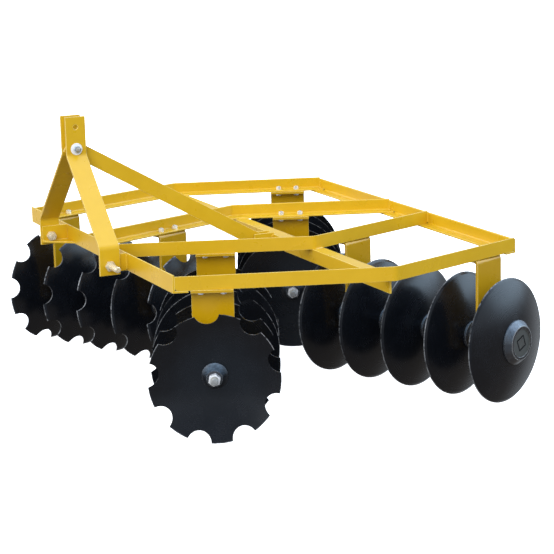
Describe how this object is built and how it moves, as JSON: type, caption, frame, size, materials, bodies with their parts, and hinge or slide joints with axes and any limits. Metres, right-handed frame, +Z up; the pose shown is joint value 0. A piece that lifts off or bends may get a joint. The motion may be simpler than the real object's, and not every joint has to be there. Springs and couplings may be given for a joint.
{
  "type": "disc harrow",
  "caption": "Tractor-mounted tandem disc harrow: gangs of dished blades in an X under an angle-iron frame with a three-point mast, notched in front, plain behind.",
  "frame": {"origin": "on the ground under the middle of the machine's overall box, midway between its left and right sides", "axes": "+X forward to the tractor, +Y to the machine's left, +Z up from the ground the blades stand on"},
  "size_m": [1.5425, 2.0444, 1.048],
  "materials": {
    "frame_paint": "semi-gloss golden-yellow enamel",
    "blade_paint": "semi-gloss black enamel on rolled steel",
    "casting": "black-painted iron casting",
    "zinc": "bright zinc plate",
    "yellow_zinc": "yellow-chromate zinc plate"
  },
  "bodies": {
    "frame": {"rail_outer_left": "frame_paint", "rail_outer_right": "frame_paint", "rail_inner_left": "frame_paint", "rail_inner_right": "frame_paint", "front_crossmember": "frame_paint", "middle_crossmember": "frame_paint", "rear_crossmember": "frame_paint", "mast_leg_left": "frame_paint", "mast_leg_right": "frame_paint", "hitch_brackets": "frame_paint", "hitch_pins": "yellow_zinc", "mast_brace": "frame_paint", "brace_lugs": "frame_paint", "brace_bushes": "zinc", "front_left_hangers": "frame_paint", "front_left_bearings": "casting", "front_right_hangers": "frame_paint", "front_right_bearings": "casting", "rear_left_hangers": "frame_paint", "rear_left_bearings": "casting", "rear_right_hangers": "frame_paint", "rear_right_bearings": "casting"},
    "front_left_gang": {"front_left_blades": "blade_paint", "front_left_spools": "casting", "front_left_axle": "zinc", "front_left_axle_nut": "zinc", "front_left_end_bell": "casting", "front_left_end_cone": "casting"},
    "front_right_gang": {"front_right_blades": "blade_paint", "front_right_spools": "casting", "front_right_axle": "zinc", "front_right_axle_nut": "zinc", "front_right_end_bell": "casting", "front_right_end_cone": "casting"},
    "rear_left_gang": {"rear_left_blades": "blade_paint", "rear_left_spools": "casting", "rear_left_axle": "zinc", "rear_left_axle_nut": "zinc", "rear_left_end_bell": "casting", "rear_left_end_cone": "casting"},
    "rear_right_gang": {"rear_right_blades": "blade_paint", "rear_right_spools": "casting", "rear_right_axle": "zinc", "rear_right_axle_nut": "zinc", "rear_right_end_bell": "casting", "rear_right_end_cone": "casting"}
  },
  "joints": [
    {"name": "front_left_gang_spin", "type": "hinge", "parent": "frame", "child": "front_left_gang", "pos_m": [0.38102, 0.46752, 0.2286], "axis": [0.4099, 0.9121, 0], "continuous": true},
    {"name": "front_right_gang_spin", "type": "hinge", "parent": "frame", "child": "front_right_gang", "pos_m": [0.38102, -0.46752, 0.2286], "axis": [0.4099, -0.9121, 0], "continuous": true},
    {"name": "rear_left_gang_spin", "type": "hinge", "parent": "frame", "child": "rear_left_gang", "pos_m": [-0.42278, 0.60559, 0.2286], "axis": [0.4067, -0.9135, 0], "continuous": true},
    {"name": "rear_right_gang_spin", "type": "hinge", "parent": "frame", "child": "rear_right_gang", "pos_m": [-0.42278, -0.60559, 0.2286], "axis": [0.4067, 0.9135, 0], "continuous": true}
  ]
}
